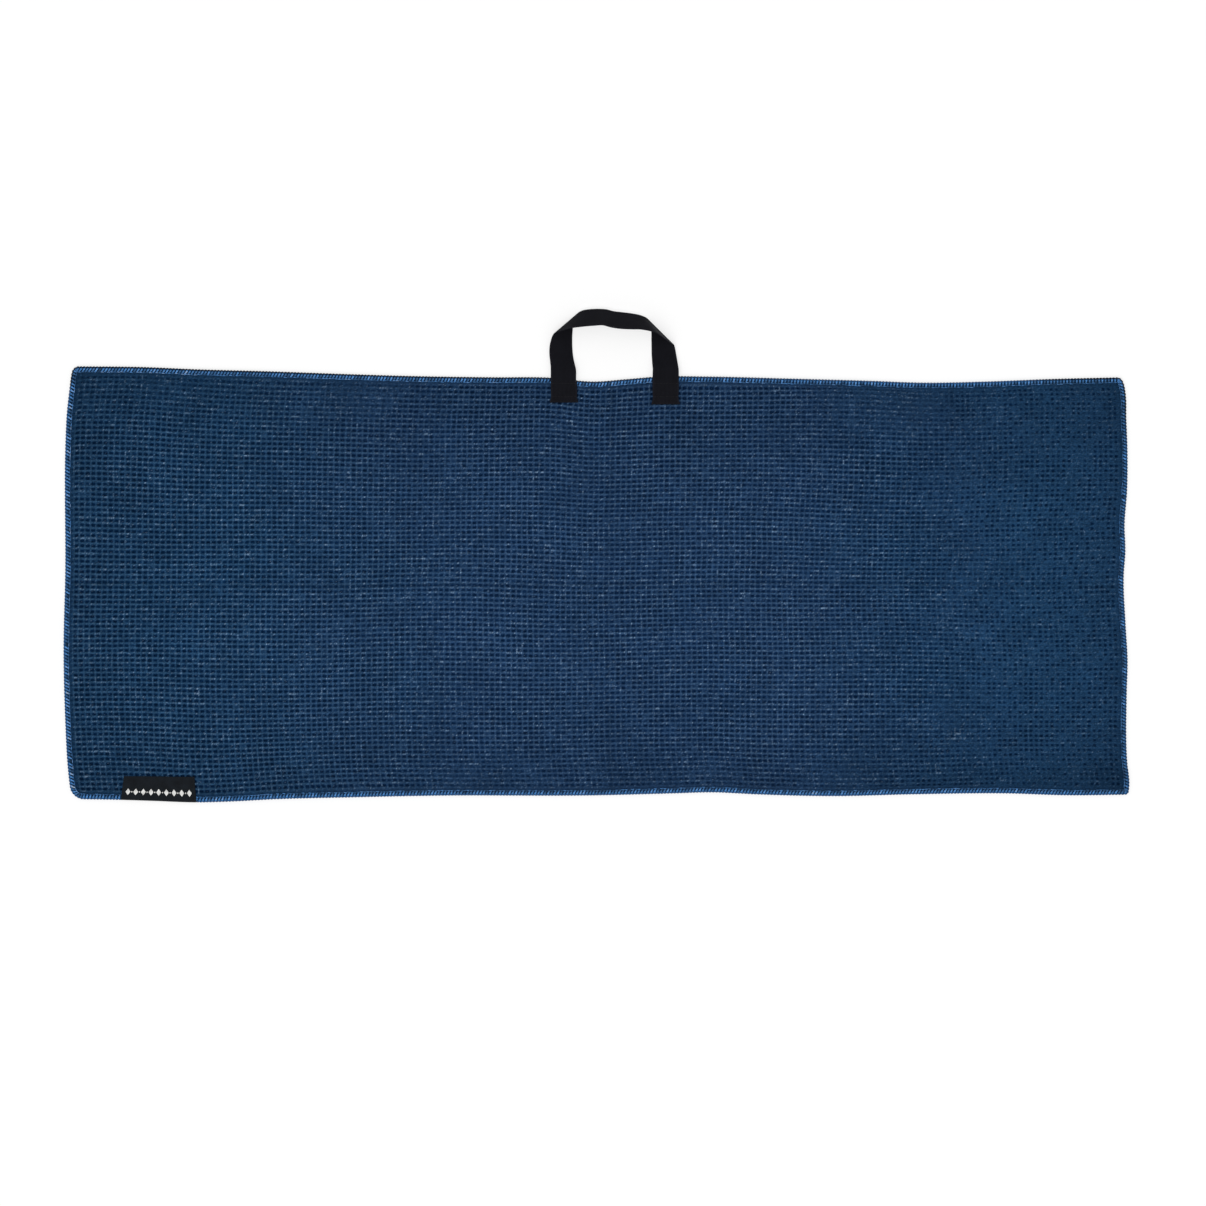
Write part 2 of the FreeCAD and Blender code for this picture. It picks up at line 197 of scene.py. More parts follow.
def rise(x, y):
    """The soft swells of the laid cloth, which is flat at its edges, under the webbing's ends and
    along the main fold."""
    swell = 0.5 + 0.5 * waves(x, y, 11, 9, 420, 120)
    open_cloth = smooth(8, 70, distance_in(x, y)) * smooth(3, 45, np.abs(y - FOLD))
    for low, high in ((LEFT_END_LOW, LEFT_END_HIGH), (RIGHT_END_LOW, RIGHT_END_HIGH)):
        open_cloth = open_cloth * (1 - near_box(x, y, low, high, 45))
    return 0.95 * np.clip(swell, 0, 1) * open_cloth


# ---------------- meshes


def grid_faces(rows, columns, wrap_rows=False, wrap_columns=False):
    """The four-cornered faces of a grid of points, row by row."""
    row = np.arange(rows if wrap_rows else rows - 1)
    column = np.arange(columns if wrap_columns else columns - 1)
    row, column = (part.ravel() for part in np.meshgrid(row, column, indexing="ij"))
    next_row, next_column = (row + 1) % rows, (column + 1) % columns
    corners = [
        row * columns + column, row * columns + next_column,
        next_row * columns + next_column, next_row * columns + column,
    ]
    return np.stack(corners, axis=1)


def slab_faces(rows, columns):
    """The faces of a closed slab: a grid, the same grid again behind it, and the wall between."""
    faces = grid_faces(rows, columns)
    count = rows * columns
    ring = np.concatenate([
        np.arange(columns), np.arange(1, rows) * columns + columns - 1,
        (rows - 1) * columns + np.arange(columns - 2, -1, -1),
        np.arange(rows - 2, 0, -1) * columns,
    ])
    ahead = np.roll(ring, -1)
    walls = np.stack([ring + count, ahead + count, ahead, ring], axis=1)
    return np.vstack([faces, faces[:, ::-1] + count, walls])


def add_object(name, data):
    """A new object in the scene."""
    made = bpy.data.objects.new(name, data)
    bpy.context.scene.collection.objects.link(made)
    return made


def make_piece(name, points, faces, material, uv, values=None):
    """A smooth-shaded mesh from arrays: points and uv in millimetres, one uv pair and one of each
    named value for every point."""
    mesh = bpy.data.meshes.new(name)
    mesh.vertices.add(len(points))
    mesh.vertices.foreach_set("co", (points * MM).astype(np.float32).ravel())
    corners = faces.shape[1]
    mesh.loops.add(faces.size)
    mesh.loops.foreach_set("vertex_index", faces.astype(np.int32).ravel())
    mesh.polygons.add(len(faces))
    starts = np.arange(0, faces.size, corners, dtype=np.int32)
    mesh.polygons.foreach_set("loop_start", starts)
    mesh.update(calc_edges=True)
    mesh.polygons.foreach_set("use_smooth", np.ones(len(faces), bool))
    layer = mesh.uv_layers.new(name="cloth")
    layer.data.foreach_set("uv", (uv[faces.ravel()] * MM).astype(np.float32).ravel())
    for label, value in (values or {}).items():
        attribute = mesh.attributes.new(label, "FLOAT", "POINT")
        attribute.data.foreach_set("value", value.astype(np.float32))
    mesh.materials.append(material)
    mesh.validate()
    return add_object(name, mesh)


def unit(vectors):
    """Each vector at length one."""
    return vectors / np.maximum(np.linalg.norm(vectors, axis=-1, keepdims=True), 1e-9)


def run_length(points):
    """How far along a path each of its points is."""
    return np.concatenate([[0], np.cumsum(np.linalg.norm(np.diff(points, axis=0), axis=1))])


def thread_shape(path, up, half_width, half_height, sides=8, closed=False):
    """A thread along a path: points and faces, with uv as length along it and way round it. up is
    the direction its flatter side faces; the half sizes may vary along it."""
    count = len(path)
    if closed:
        tangent = unit(np.roll(path, -1, axis=0) - np.roll(path, 1, axis=0))
    else:
        tangent = unit(np.gradient(path, axis=0))
    side = unit(np.cross(tangent, up))
    lift = np.cross(side, tangent)
    turn = np.arange(sides) * 2 * math.pi / sides
    wide = np.broadcast_to(half_width, (count,))[:, None, None] * side[:, None, :]
    high = np.broadcast_to(half_height, (count,))[:, None, None] * lift[:, None, :]
    ring = wide * np.cos(turn)[None, :, None] + high * np.sin(turn)[None, :, None]
    points = (path[:, None, :] + ring).reshape(-1, 3)
    faces = grid_faces(count, sides, wrap_rows=closed, wrap_columns=True)
    length = np.repeat(run_length(path), sides)
    round_it = np.tile(np.arange(sides) / sides, count) * 2 * math.pi * np.mean(half_width)
    if not closed:
        faces = np.vstack([faces, end_faces(0, sides, True), end_faces(count - 1, sides, False)])
    return points, faces, np.stack([length, round_it], axis=1)


def end_faces(row, sides, first):
    """The faces that close a thread's end, over an even number of sides."""
    base = row * sides
    quads = []
    for step in range(1, sides - 2, 2):
        quad = [base, base + step, base + step + 1, base + step + 2]
        quads.append(quad[::-1] if first else quad)
    return np.array(quads)


# ---------------- materials


def set_sockets(shader, values):
    """Sets a shader's sockets by name."""
    for name, value in values.items():
        shader.inputs[name].default_value = value


class Finish:
    """A material's node tree, with short ways to add nodes to it."""

    def __init__(self, name, roughness, sheen=0.0, sheen_tint=(1, 1, 1), specular=0.5):
        self.material = bpy.data.materials.new(name)
        self.material.use_nodes = True
        self.tree = self.material.node_tree
        self.shader = self.tree.nodes["Principled BSDF"]
        set_sockets(self.shader, {
            "Roughness": roughness, "Sheen Weight": sheen, "Sheen Roughness": 0.5,
            "Sheen Tint": (*sheen_tint, 1), "Specular IOR Level": specular,
        })

    def node(self, kind, inputs=None, **settings):
        made = self.tree.nodes.new(kind)
        for name, value in settings.items():
            setattr(made, name, value)
        for name, value in (inputs or {}).items():
            self.feed(made.inputs[name], value)
        return made

    def feed(self, socket, value):
        if isinstance(value, bpy.types.NodeSocket):
            self.tree.links.new(value, socket)
        else:
            socket.default_value = value

    def lay(self, scale=(1, 1, 1), angle=0.0):
        """The cloth's own flat coordinates, in metres, stretched and turned."""
        uv = self.node("ShaderNodeUVMap", uv_map="cloth")
        inputs = {"Vector": uv.outputs["UV"], "Scale": scale, "Rotation": (0, 0, angle)}
        return self.node("ShaderNodeMapping", inputs).outputs["Vector"]

    def value(self, name):
        return self.node("ShaderNodeAttribute", attribute_name=name).outputs["Fac"]

    def noise(self, where, scale, detail=2.0, roughness=0.5, distortion=0.0):
        inputs = {
            "Vector": where, "Scale": scale, "Detail": detail, "Roughness": roughness,
            "Distortion": distortion,
        }
        return self.node("ShaderNodeTexNoise", inputs).outputs["Fac"]

    def wave(self, where, scale, direction, distortion=0.0):
        inputs = {"Vector": where, "Scale": scale, "Distortion": distortion, "Detail": 1.0}
        made = self.node("ShaderNodeTexWave", inputs, bands_direction=direction)
        return made.outputs["Fac"]

    def span(self, value, low, high, to_low=0.0, to_high=1.0):
        inputs = {
            "Value": value, "From Min": low, "From Max": high, "To Min": to_low, "To Max": to_high,
        }
        return self.node("ShaderNodeMapRange", inputs).outputs["Result"]

    def maths(self, operation, first, second):
        made = self.node("ShaderNodeMath", operation=operation)
        self.feed(made.inputs[0], first)
        self.feed(made.inputs[1], second)
        return made.outputs["Value"]

    def mix(self, share, first, second, blend="MIX"):
        made = self.node("ShaderNodeMix", data_type="RGBA", blend_type=blend)
        colours = [socket for socket in made.inputs if socket.type == "RGBA"]
        self.feed(made.inputs["Factor"], share)
        for socket, value in zip(colours, (first, second)):
            self.feed(socket, (*value, 1) if isinstance(value, tuple) else value)
        return next(socket for socket in made.outputs if socket.type == "RGBA")

    def scale_colour(self, colour, factor):
        """A colour made lighter or darker by a varying factor."""
        made = self.node("ShaderNodeVectorMath", operation="SCALE")
        self.feed(made.inputs[0], colour)
        self.feed(made.inputs["Scale"], factor)
        return made.outputs["Vector"]

    def vary(self, colour, texture, low, high):
        """A colour made lighter or darker by a noise texture, between two factors."""
        return self.scale_colour(colour, self.span(texture, 0.3, 0.7, low, high))

    def finish(self, colour, roughness, height, distance):
        self.feed(self.shader.inputs["Base Color"], colour)
        self.feed(self.shader.inputs["Roughness"], roughness)
        inputs = {"Height": height, "Strength": 1.0, "Distance": distance}
        bump = self.node("ShaderNodeBump", inputs)
        self.feed(self.shader.inputs["Normal"], bump.outputs["Normal"])
        return self.material


def waffle_material():
    """Microfibre waffle: pits darker than ridges, partly by the weave's own colour and partly by
    painted shade, crests in painted light, floats of soft yarn, bright painted glints, and a slow
    drift from navy in the middle to a greener navy at the sides."""
    finish = Finish("waffle_cloth", 0.85, sheen=0.004, sheen_tint=(0.6, 0.75, 1.0), specular=0.02)
    relief = finish.value("relief")
    teal = finish.value("teal")
    # The pits' darkness is partly the weave's own colour and partly painted shade; the crests'
    # lightness is painted light.
    crest = finish.mix(teal, (0.0375, 0.0825, 0.1640), (0.0300, 0.0815, 0.1580))
    slope = finish.mix(teal, (0.0147, 0.0422, 0.1020), (0.0108, 0.0412, 0.0980))
    pits = finish.mix(teal, (0.0038, 0.0200, 0.0650), (0.0022, 0.0180, 0.0590))
    colour = finish.mix(finish.span(relief, 0.08, 0.58), pits, slope)
    colour = finish.mix(finish.span(relief, 0.66, 1.02), colour, crest)
    # Painted glints of the yarn.
    colour = finish.mix(finish.value("painted_glint"), colour, (0.220, 0.330, 0.475))
    rows = finish.noise(finish.lay((260, 1500, 1)), 1.0, 3.0, 0.6)
    fibres = finish.noise(finish.lay(), 2600.0, 4.0, 0.65)
    patches = finish.noise(finish.lay(), 30.0, 4.0, 0.6)
    colour = finish.vary(colour, rows, 0.62, 1.40)
    # The cloth's painted shade, with a random tone for each point.
    colour = finish.scale_colour(colour, finish.value("shade"))
    colour = finish.vary(colour, fibres, 0.78, 1.24)
    colour = finish.vary(colour, patches, 0.88, 1.12)
    yarns = finish.wave(finish.lay(), 200.0, "Y", 1.5)
    height = finish.maths("ADD", finish.maths("MULTIPLY", yarns, 0.5), fibres)
    roughness = finish.span(fibres, 0.3, 0.7, 0.78, 0.95)
    return finish.finish(colour, roughness, height, 0.00022)


def edging_material():
    """Textured polyester overlock thread, royal blue and glossier than the cloth."""
    finish = Finish("edging_thread", 0.6, sheen=0.008, sheen_tint=(0.6, 0.75, 1.0), specular=0.08)
    where = finish.lay()
    patches = finish.noise(where, 18.0, 3.0)
    plies = finish.wave(finish.lay(angle=0.8), 420.0, "X", 1.0)
    fibres = finish.noise(where, 3000.0, 3.0, 0.6)
    colour = finish.mix(
        finish.span(patches, 0.35, 0.65), (0.052, 0.178, 0.425), (0.070, 0.190, 0.415)
    )
    colour = finish.mix(finish.value("rim"), colour, (0.014, 0.150, 0.440))
    # Painted shade between the plies and painted light along them.
    colour = finish.scale_colour(colour, finish.span(plies, 0.0, 1.0, 0.72, 1.18))
    colour = finish.vary(colour, fibres, 0.85, 1.18)
    # The strand's random tone with its painted shade; above 1.5 it turns pale as a painted
    # highlight.
    tone_and_painted_light = finish.value("tone_and_painted_light")
    colour = finish.scale_colour(colour, finish.maths("MINIMUM", tone_and_painted_light, 1.5))
    colour = finish.mix(finish.span(tone_and_painted_light, 1.5, 3.2), colour, (0.300, 0.400, 0.540))
    height = finish.maths("ADD", plies, finish.maths("MULTIPLY", fibres, 0.4))
    return finish.finish(colour, finish.span(fibres, 0.3, 0.7, 0.5, 0.72), height, 0.00012)


def webbing_material():
    """Black polypropylene webbing: dull ribs with a faint painted shine along their crests."""
    finish = Finish("webbing", 0.6, sheen=0.004, sheen_tint=(0.8, 0.85, 1.0), specular=0.04)
    relief = finish.value("relief")
    fibres = finish.noise(finish.lay((350, 3000, 1)), 1.0, 3.0, 0.6)
    patches = finish.noise(finish.lay(), 90.0, 3.0)
    # Lighter on the rib crests: a painted shine.
    colour = finish.mix(relief, (0.0030, 0.0031, 0.0046), (0.0110, 0.0112, 0.0156))
    colour = finish.vary(colour, fibres, 0.75, 1.25)
    colour = finish.vary(colour, patches, 0.88, 1.14)
    roughness = finish.span(fibres, 0.3, 0.7, 0.48, 0.68)
    return finish.finish(colour, roughness, fibres, 0.00010)


def sewing_thread_material(name, dark, light, sheer, roughness, ply_scale, depth):
    """Sewing thread of two twisted plies, with painted shade between them and painted light along
    each.
    """
    finish = Finish(name, roughness[0], specular=sheer)
    plies = finish.wave(finish.lay(angle=0.9), ply_scale, "X")
    fibres = finish.noise(finish.lay(), 3500.0, 2.0)
    # Painted shade between the plies and painted light along them.
    colour = finish.mix(plies, dark, light)
    return finish.finish(colour, finish.span(fibres, 0.3, 0.7, *roughness[1:]), plies, depth)


def label_material():
    """Charcoal satin label tape with a pale woven border pattern."""
    finish = Finish("label_fabric", 0.5, sheen=0.004, specular=0.06)
    motif = finish.value("motif")
    weft = finish.wave(finish.lay(), 620.0, "Y", 0.4)
    warp = finish.wave(finish.lay(), 480.0, "X", 0.4)
    patches = finish.noise(finish.lay(), 140.0, 3.0)
    ground = finish.mix(finish.value("relief"), (0.0028, 0.0042, 0.0062), (0.0080, 0.0105, 0.0140))
    colour = finish.mix(finish.span(motif, 0.3, 0.6), ground, (0.78, 0.78, 0.76))
    colour = finish.scale_colour(colour, finish.span(weft, 0.0, 1.0, 0.80, 1.12))
    colour = finish.vary(colour, patches, 0.7, 1.3)
    height = finish.maths("ADD", weft, finish.maths("MULTIPLY", warp, 0.6))
    return finish.finish(colour, finish.span(patches, 0.3, 0.7, 0.42, 0.6), height, 0.00008)


# ---------------- waffle cloth

CELLS_ACROSS = 194
CELLS_UP = 86
ACROSS_PHASES = [0.0, 0.20, 0.34, 0.50, 0.66, 0.80]
UP_PHASES = [0.0, 0.14, 0.30, 0.50, 0.70, 0.86]
PIT_DEPTH = 1.25
BACK_PIT_DEPTH = 0.95
# How far the tallest crests stay below the cloth's full thickness, how much lower the cloth
# between them is, and the depth below full thickness that counts as a relief of nothing.
PILE = 0.1
RIDGE_DROP = 0.42
DEEPEST = 1.55


def weave_places(cells, phases):
    """Places along one direction, counted in cells, at the same phases of every cell."""
    places = (np.arange(cells)[:, None] + np.array(phases)[None, :]).ravel()
    return np.append(places, cells)


def pit(across, up, parted, closed):
    """How deep in a waffle pit a place is, from its distances to the pit's middle, in cells.
    Where the pits are less parted, they run together along their row. Where the weave is closed,
    they shrink to pinholes."""
    wide = 1 - smooth(0.16 - 0.04 * closed, 0.42 - 0.09 * closed, across)
    tall = 1 - smooth(0.07 + 0.05 * closed, 0.36 - 0.04 * closed, up)
    run = 0.52 - 0.45 * parted
    return tall * (run + (1 - run) * wide)


def openness(x, y):
    """How open the weave lies: full on the left and by the loop, pressed flatter to the right,
    in the far corners and along the bottom."""
    from_top, from_bottom = TOP - y, y - BOTTOM
    open_by_loop = 1 - smooth(90, 230, np.abs(x - 15))
    level = 1.10 - 0.46 * smooth(190, 430, x) + 0.10 * (1 - smooth(-350, -150, x))
    level = level * (1 - 0.34 * (1 - smooth(10, 75, from_top)) * (1 - open_by_loop))
    level = level * (1 - 0.26 * (1 - smooth(12, 60, from_bottom)) * smooth(-330, -120, x))
    level = level + 0.25 * (1 - smooth(20, 60, from_top)) * open_by_loop
    return level + 0.14 * waves(x, y, 31, 10, 200, 50)


def painted_cloth_shade(x, y):
    """Painted shade on the cloth: darker towards its edges and along the fold creases, with slow
    painted light and shade.
    """
    shade = 1 - 0.25 * np.exp(-(TOP - y) / 85)
    shade = shade - 0.27 * np.exp(-(y - BOTTOM) / 45) * (1 + 0.25 * smooth(100, 400, x))
    shade = shade - 0.18 * np.exp(-(x + SIDE) / 55) - 0.24 * np.exp(-(SIDE - x) / 55)
    # Painted shade along the fold creases.
    shade = shade - 0.18 * np.clip(crease_depth(x, y), 0, 1)
    # Slow painted light and shade, as over soft swells.
    return shade + 0.03 * waves(x, y, 12, 8, 300, 90)


def crease_depth(x, y):
    """The pressed lines of the towel's folds: one lengthwise, one crosswise, and faint others."""
    middle = FOLD + 3.0 + 1.2 * np.sin(x / 140.0) - 2.2 * smooth(150, 500, x)
    depth = 0.85 * np.exp(-(((y - middle) / 2.2) ** 2)) * (1 - 0.35 * smooth(250, 480, x))
    lines = [(12.0, 0.75, 2.4), (-327, 0.20, 4), (-152, 0.25, 4), (166, 0.25, 4), (338, 0.2, 4)]
    for place, amount, width in lines:
        line = place + 1.8 * smooth(-60, 60, y) + 0.8 * np.sin(y / 45.0 + place)
        depth = depth + amount * np.exp(-(((x - line) / width) ** 2))
    return depth


def cloth_grid():
    """The weave's places in cells and the straight-cut positions that they have on the towel."""
    s, t = np.meshgrid(
        weave_places(CELLS_ACROSS, ACROSS_PHASES), weave_places(CELLS_UP, UP_PHASES)
    )
    share = s / CELLS_ACROSS
    wider_left = 0.043
    x = -(SIDE - RIM) + 2 * (SIDE - RIM) * (share * (1 + wider_left) - wider_left * share**2)
    y = (BOTTOM + RIM) + (TOP - BOTTOM - 2 * RIM) * t / CELLS_UP
    loose = smooth(4, 14, distance_in(x, y))
    x = x + loose * (waves(x, y, 5, 8, 420, 130) + 0.13 * waves(x, y, 6, 9, 50, 14))
    y = y + loose * (2.2 * waves(x, y, 7, 8, 520, 190) + 0.13 * waves(x, y, 8, 9, 45, 12))
    return s, t, x, y


def cell_lots(s, t, draw):
    """What is each cell's own, at every point of the grid: how deep its pit is, and the chance
    draws of its crest and of the post between it and the next cell."""
    near_s, near_t = np.rint(s).astype(int), np.rint(t).astype(int)
    left_s, below_t = np.floor(s).astype(int), np.floor(t).astype(int)
    lattice = (CELLS_UP + 2, CELLS_ACROSS + 2)
    depth = np.clip(draw.normal(1.0, 0.27, lattice), 0.3, 1.35)[near_t, near_s]
    crest = draw.random(lattice)[below_t, near_s]
    post = draw.random(lattice)[near_t, left_s]
    return depth, crest, post


def weave_state(x, y):
    """How open the weave lies, how far its pits are closed to pinholes, which they are on the
    right, and how well the pits of a row are parted from each other."""
    calm = openness(x, y)
    closed = smooth(230, 420, x + 45 * waves(x, y, 37, 8, 200, 60))
    parted = np.clip(1.25 * calm - 0.50 + 0.3 * (1 - smooth(-330, -150, x)), 0, 1)
    return calm, closed, np.maximum(parted, 0.95 * closed)


def painted_glints(x, y, in_s, crest, crest_of, post_of, tuft):
    """Painted glints: how much of the light each place catches, painted into its colour, on floats
    on the crests, posts between the cells and single bright fibres, stronger in some spots of the
    cloth than in others."""
    bright_spots = smooth(0.30, 0.95, waves(x, y, 33, 12, 60, 16))
    floats = crest * smooth(0.62, 1.0, crest_of) * smooth(0.45, 1.0, tuft)
    posts = smooth(0.34, 0.5, in_s) * smooth(0.86, 1.0, post_of) * smooth(0.3, 1.0, tuft)
    sparks = 0.55 * smooth(0.980, 0.990, tuft) + 0.45 * smooth(0.994, 0.998, tuft)
    yarns = np.maximum(floats, 0.8 * posts) * (0.45 + 0.55 * bright_spots)
    return np.maximum(yarns, sparks * (0.35 + 0.65 * crest))


def toward(level, value, share):
    """A value drawn to a level: the level itself at share 0, the value at share 1."""
    return level + (value - level) * share


def waffle_cloth():
    """The whole towel panel as one closed mesh, woven in relief on both faces."""
    s, t, x, y = cloth_grid()
    draw = np.random.default_rng(23)
    depth_of, crest_of, post_of = cell_lots(s, t, draw)
    tuft = draw.random(s.shape)
    grain = 1 + 0.54 * (draw.random(s.shape) - 0.5)
    calm, closed, parted = weave_state(x, y)
    in_s, in_t = np.abs(s - np.rint(s)), np.abs(t - np.rint(t))
    inset = distance_in(x, y)
    open_weave = smooth(EDGING - 0.3, EDGING + 4.5, inset)
    crest = smooth(0.22, 0.5, in_t)
    # Painted glints of the yarn; they also raise the front a little.
    painted_glint = painted_glints(x, y, in_s, crest, crest_of, post_of, tuft) * open_weave * (1 - 0.55 * closed)
    seen = 1 - 0.5 * closed * (1 - smooth(0.7, 1.15, depth_of))
    hole = pit(in_s, in_t, parted, closed) * seen

    sunk = PIT_DEPTH * depth_of * np.clip(calm + 0.35 * closed, 0.3, 1.2) * hole
    ridge = np.maximum(crest, 0.64 * parted * (1 - closed) * smooth(0.28, 0.48, in_s))
    front = THICK - PILE - RIDGE_DROP * (1 - ridge) - sunk + 0.16 * (crest_of - 0.5) * crest
    front = front + 0.10 * painted_glint + 0.10 * (tuft - 0.5)
    # relief only sets the colour, on both faces: its dark pits are partly painted shade and its
    # light crests painted light.
    relief = 1 - np.clip((THICK - front) / DEEPEST, 0, 1)
    contrast = np.clip(calm, 0.4, 1.2) * (1 - 0.3 * closed) + 0.75 * closed * hole
    relief = toward(0.60, relief, contrast) + 0.40 * (tuft - 0.5)
    relief = toward(0.54, relief, open_weave)
    front = toward(THICK - PRESSED, front - crease_depth(x, y) * (1 - hole), open_weave)

    back_pit = pit(0.5 - in_s, 0.5 - in_t, parted, closed) * np.clip(calm, 0.3, 1.0)
    back = 0.08 + 0.2 * smooth(0.28, 0.5, in_t) + BACK_PIT_DEPTH * back_pit
    back = toward(PRESSED, back, open_weave)
    back_relief = toward(0.5, 1 - np.clip(back / 1.1, 0, 1), open_weave)

    # Painted shade of the cloth, times a random tone for each point and lighter where the weave is
    # closed.
    shade = painted_cloth_shade(x, y) * grain * (1 + 0.08 * closed)
    # Painted shade on the cloth under and between the edging threads.
    shade = shade * toward(0.74, 1, smooth(EDGING - 0.4, EDGING + 0.9, inset))
    teal = smooth(110, 430, np.abs(x - 20) + 40 * waves(x, y, 13, 8, 300, 90))

    flat_x, flat_y = round_corners(x, y)
    place_x, place_y = lie(flat_x, flat_y)
    swell = rise(x, y)
    top = np.stack([place_x, place_y, front + swell], axis=-1).reshape(-1, 3)
    under = np.stack([place_x, place_y, back + swell], axis=-1).reshape(-1, 3)
    uv = np.stack([flat_x, flat_y], axis=-1).reshape(-1, 2)
    return make_piece(
        "waffle_cloth", np.vstack([top, under]), slab_faces(*s.shape), waffle_material(),
        np.vstack([uv, uv]),
        {
            "relief": np.concatenate([relief.ravel(), back_relief.ravel()]),
            "painted_glint": np.concatenate([painted_glint.ravel(), np.zeros(painted_glint.size)]),
            "shade": np.tile(shade.ravel(), 2),
            "teal": np.tile(teal.ravel(), 2),
        },
    )


# ---------------- overlocked edge

STITCHES_ROUND = 914
LOOPER_SAMPLES = 14
LOOPER_SIDES = 8
LOOPER_HALF_HEIGHT = 0.34
LOOPER_HALF_WIDTH = 0.68
LOOPER_EDGE_HALF_WIDTH = 0.82
NEEDLE_SAMPLES = 8
NEEDLE_SIDES = 6
NEEDLE_INSET = 4.75
NEEDLE_LOW = 1.65
NEEDLE_RISE = 1.1


def outline_walk(places):
    """Points on the straight-cut outline and the outward directions there, at shares of its
    length."""
    points, outward = [], []
    for index, (right, up, radius) in enumerate(CORNERS):
        centre = np.array(corner_centre(right, up, radius))
        for angle in np.radians(np.linspace(90 * index, 90 * index + 90, 13)):
            direction = np.array([math.cos(angle), math.sin(angle)])
            points.append(centre + radius * direction)
            outward.append(direction)
    points, outward = np.array(points + points[:1]), np.array(outward + outward[:1])
    along = run_length(points)
    at = (places % 1.0) * along[-1]

    def there(values):
        return np.stack([np.interp(at, along, values[:, axis]) for axis in (0, 1)], axis=1)

    return there(points), unit(there(outward))


def under_label(x, y):
    """1 where the label covers the edging and presses its threads into the cloth."""
    covered = smooth(LABEL_LOW[0] - 4.6, LABEL_LOW[0] - 2.2, x)
    covered = covered * (1 - smooth(LABEL_HIGH[0] - 2.6, LABEL_HIGH[0] - 0.4, x))
    return covered * (y < BOTTOM + 12)


def on_edging(stitch, inset, z):
    """Positions for places along the edging, counted in stitches, at an inset and a height, and
    the outward directions there."""
    spot, facing = outline_walk(stitch / STITCHES_ROUND)
    pressed = under_label(spot[:, 0], spot[:, 1])
    flat = spot - facing * (inset + 0.8 * pressed)[:, None]
    z = z + (THICK / 2 - z) * 0.38 * pressed
    x, y = lie(flat[:, 0], flat[:, 1])
    return np.stack([x, y, z], axis=1), facing


def looper(face):
    """One looper thread, which runs from the edge in to the needle thread and back at every
    stitch, all the way round; how much of the rim's blue each point has, and how light it is, as a
    random tone for each strand with painted shade and painted highlights."""
    phase = np.tile(np.arange(LOOPER_SAMPLES) / LOOPER_SAMPLES, STITCHES_ROUND)
    stitch = np.repeat(np.arange(STITCHES_ROUND), LOOPER_SAMPLES)
    draw = np.random.default_rng(41 if face == "front" else 43)
    uneven = draw.normal(0, 0.05, STITCHES_ROUND)[stitch]
    longer = draw.normal(0, 0.22, STITCHES_ROUND)[stitch]
    swing = np.sin(2 * math.pi * phase)
    reach = np.sign(swing) * np.abs(swing) ** 0.75
    inset = 2.25 + 2.45 * reach + longer * np.clip(swing, 0, 1)
    along = stitch + phase + 0.22 * np.cos(2 * math.pi * phase) + uneven * np.clip(swing, 0, 1)
    along = along + 0.16 * inset
    over = smooth(-0.3, 1.3, inset)
    away = (THICK - 0.34) if face == "front" else 0.33
    z = THICK / 2 + (away - THICK / 2) * over
    path, facing = on_edging(along, inset, z)
    lean = (over * math.pi / 2)[:, None]
    upward = UPWARD if face == "front" else -UPWARD
    outward = np.hstack([facing, np.zeros((len(facing), 1))])
    up = outward * np.cos(lean) + upward * np.sin(lean)
    on_left = smooth(SIDE - 18, SIDE - 7, -path[:, 0])
    wide = LOOPER_HALF_WIDTH - 0.10 * on_left
    wide = toward(wide, LOOPER_EDGE_HALF_WIDTH, 1 - smooth(0.8, 3.0, inset))
    shape = thread_shape(path, up, wide, LOOPER_HALF_HEIGHT, sides=LOOPER_SIDES, closed=True)
    strand = 2 * stitch + (phase > 0.5)
    lot = draw.lognormal(0.0, 0.34, 2 * STITCHES_ROUND)[strand]
    lot = 1 + (lot - 1) * (1.1 + 0.5 * on_left) * smooth(1.0, 2.6, inset)
    # A random tone for each strand with painted shade; the lightest strands are painted highlights.
    tone_and_painted_light = 1.24 * painted_thread_shade(path, inset) * np.maximum(lot, 0.15)
    rim = 1 - smooth(0.35, 1.5, inset)
    return shape, np.repeat(rim, LOOPER_SIDES), np.repeat(tone_and_painted_light, LOOPER_SIDES)


def needle_line():
    """The needle thread, a straight stitch along the inner side of the edging that dips into the
    cloth between stitches; it has none of the rim's blue, and a few stitches are painted very light
    as highlights."""
    phase = np.tile(np.arange(NEEDLE_SAMPLES) / NEEDLE_SAMPLES, STITCHES_ROUND)
    stitch = np.repeat(np.arange(STITCHES_ROUND), NEEDLE_SAMPLES) + phase
    draw = np.random.default_rng(47)
    uneven = draw.normal(0, 0.16, STITCHES_ROUND)
    inset = NEEDLE_INSET + np.repeat(uneven, NEEDLE_SAMPLES)
    z = NEEDLE_LOW + NEEDLE_RISE * np.abs(np.sin(math.pi * phase)) ** 0.5
    path, _ = on_edging(stitch + 0.25, inset, z)
    shape = thread_shape(path, UPWARD, 0.27, 0.26, sides=NEEDLE_SIDES, closed=True)
    lot = np.repeat(draw.random(STITCHES_ROUND) ** 3, NEEDLE_SAMPLES)
    # Painted shade, with a few stitches painted very light as highlights.
    tone_and_painted_light = painted_thread_shade(path, inset) * (0.80 + 3.4 * lot)
    return shape, np.zeros(len(shape[0])), np.repeat(tone_and_painted_light, NEEDLE_SIDES)


